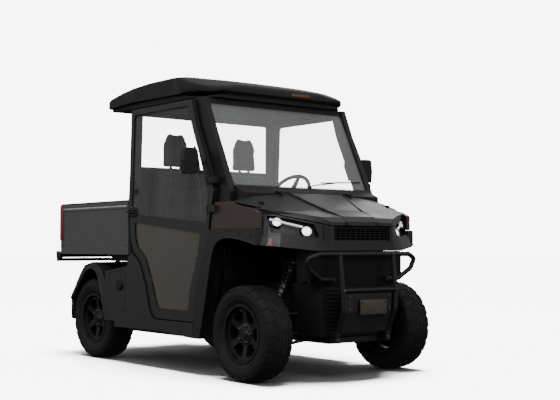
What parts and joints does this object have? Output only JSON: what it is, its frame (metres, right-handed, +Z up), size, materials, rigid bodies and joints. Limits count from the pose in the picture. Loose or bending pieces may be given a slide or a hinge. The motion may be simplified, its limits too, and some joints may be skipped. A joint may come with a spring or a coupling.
{
  "type": "side-by-side utility vehicle",
  "caption": "Two-seat glazed-cab side-by-side utility vehicle with rolling and steered wheels, opening doors and hood, and a tipping cargo bed with a drop tailgate.",
  "frame": {"origin": "on the ground under the middle of the overall length and width", "axes": "+X is the vehicle's left, -Y its front, +Y its rear, +Z up"},
  "size_m": [1.8238, 3.252, 2.19],
  "materials": {
    "frame_black": "satin black powder coat",
    "body_charcoal": "satin charcoal paint",
    "side_brown": "satin red-brown paint",
    "black_plastic": "grained black moulding",
    "bed_grey": "satin grey paint",
    "cast_metal": "painted casting",
    "spring_steel": "painted spring steel",
    "alloy_dark": "dark grey cast alloy",
    "tyre": "black rubber",
    "clear_glass": "clear safety glass",
    "smoked_pane": "bronze smoked polycarbonate",
    "seat_cover": "grained vinyl",
    "lamp": "lamp housing and lenses",
    "amber": "amber lens",
    "red": "red lens"
  },
  "bodies": {
    "chassis": {"brush_guard": "frame_black", "cab_controls": "black_plastic", "cab_frame": "frame_black", "cabin_tub": "black_plastic", "chassis_frame": "frame_black", "cowl": "black_plastic", "cowl_sides": "side_brown", "dashboard": "black_plastic", "driveline": "cast_metal", "engine": "cast_metal", "fascia": "body_charcoal", "front_fenders": "body_charcoal", "grille": "black_plastic", "guard_panel": "body_charcoal", "headlamps": "lamp", "headrests": "seat_cover", "hitch_receiver": "frame_black", "rack_housing": "cast_metal", "radiator": "black_plastic", "rear_fenders": "body_charcoal", "rear_knuckles": "cast_metal", "rear_window": "clear_glass", "roof": "body_charcoal", "seat_backs": "seat_cover", "seat_cushions": "seat_cover", "seat_riser": "black_plastic", "shocks": "spring_steel", "sills": "body_charcoal", "steering_column": "black_plastic", "turn_lamps": "amber", "windscreen": "clear_glass", "wishbones": "frame_black"},
    "hood": {"hood": "body_charcoal"},
    "door_left": {"door_frame_left": "body_charcoal", "door_glass_left": "clear_glass", "door_pane_left": "smoked_pane", "mirror_left": "black_plastic"},
    "door_right": {"door_frame_right": "body_charcoal", "door_glass_right": "clear_glass", "door_pane_right": "smoked_pane", "mirror_right": "black_plastic"},
    "bed": {"cargo_bed": "bed_grey", "bed_rear_bar": "frame_black", "tail_lamps": "red"},
    "tailgate": {"tailgate": "bed_grey"},
    "lift_cylinder": {"lift_cylinder": "spring_steel"},
    "lift_rod": {"lift_rod": "spring_steel"},
    "knuckle_left": {"knuckle_left": "cast_metal"},
    "knuckle_right": {"knuckle_right": "cast_metal"},
    "steering_wheel": {"steering_wheel": "black_plastic"},
    "steering_rack": {"tie_rods": "cast_metal"},
    "wheel_front_left": {"tyre_front_left": "tyre", "rim_front_left": "alloy_dark"},
    "wheel_front_right": {"tyre_front_right": "tyre", "rim_front_right": "alloy_dark"},
    "wheel_rear_left": {"tyre_rear_left": "tyre", "rim_rear_left": "alloy_dark"},
    "wheel_rear_right": {"tyre_rear_right": "tyre", "rim_rear_right": "alloy_dark"}
  },
  "joints": [
    {"name": "steer_left", "type": "hinge", "parent": "chassis", "child": "knuckle_left", "pos_m": [0.56, -1.135, 0.326], "axis": [0, 0, 1], "range_deg": [-30, 30]},
    {"name": "steer_right", "type": "hinge", "parent": "chassis", "child": "knuckle_right", "pos_m": [-0.56, -1.135, 0.326], "axis": [0, 0, 1], "range_deg": [-30, 30]},
    {"name": "steering_wheel_turn", "type": "hinge", "parent": "chassis", "child": "steering_wheel", "pos_m": [0.345, -0.33, 1.33], "axis": [0, 0.788, 0.6157], "range_deg": [-270, 270]},
    {"name": "rack_slide", "type": "slide", "parent": "chassis", "child": "steering_rack", "axis": [1, 0, 0], "range_m": [-0.04985, 0.04985]},
    {"name": "roll_front_left", "type": "hinge", "parent": "knuckle_left", "child": "wheel_front_left", "pos_m": [0.65, -1.135, 0.326], "axis": [1, 0, 0], "continuous": true},
    {"name": "roll_rear_left", "type": "hinge", "parent": "chassis", "child": "wheel_rear_left", "pos_m": [0.617, 0.937, 0.326], "axis": [1, 0, 0], "continuous": true},
    {"name": "roll_front_right", "type": "hinge", "parent": "knuckle_right", "child": "wheel_front_right", "pos_m": [-0.65, -1.135, 0.326], "axis": [1, 0, 0], "continuous": true},
    {"name": "roll_rear_right", "type": "hinge", "parent": "chassis", "child": "wheel_rear_right", "pos_m": [-0.617, 0.937, 0.326], "axis": [1, 0, 0], "continuous": true},
    {"name": "door_left_swing", "type": "hinge", "parent": "chassis", "child": "door_left", "pos_m": [0.748, -0.806, 1.28], "axis": [0, 0, -1], "range_deg": [0, 70]},
    {"name": "door_right_swing", "type": "hinge", "parent": "chassis", "child": "door_right", "pos_m": [-0.748, -0.806, 1.28], "axis": [0, 0, 1], "range_deg": [0, 70]},
    {"name": "hood_lift", "type": "hinge", "parent": "chassis", "child": "hood", "pos_m": [0, -1.037, 1.302], "axis": [-1, 0, 0], "range_deg": [0, 50]},
    {"name": "bed_tilt", "type": "hinge", "parent": "chassis", "child": "bed", "pos_m": [0, 1.33, 0.805], "axis": [-1, 0, 0], "range_deg": [0, 45]},
    {"name": "tailgate_drop", "type": "hinge", "parent": "bed", "child": "tailgate", "pos_m": [0, 1.529, 0.848], "axis": [-1, 0, 0], "range_deg": [0, 90]},
    {"name": "lift_swing", "type": "hinge", "parent": "chassis", "child": "lift_cylinder", "pos_m": [0, 1.05, 0.52], "axis": [-1, 0, 0], "range_deg": [0, 3.76]},
    {"name": "lift_stroke", "type": "slide", "parent": "lift_cylinder", "child": "lift_rod", "axis": [0, 0.2593, 0.9658], "range_m": [0, 0.1519]}
  ],
  "couplings": [
    {"joint": "steer_right", "follows": "steer_left", "ratio": 1},
    {"joint": "steering_wheel_turn", "follows": "steer_left", "ratio": 9},
    {"joint": "rack_slide", "follows": "steer_left", "m_per_rad": 0.095},
    {"joint": "lift_swing", "follows": "bed_tilt", "ratio": 0.082469},
    {"joint": "lift_stroke", "follows": "bed_tilt", "m_per_rad": 0.19282}
  ]
}
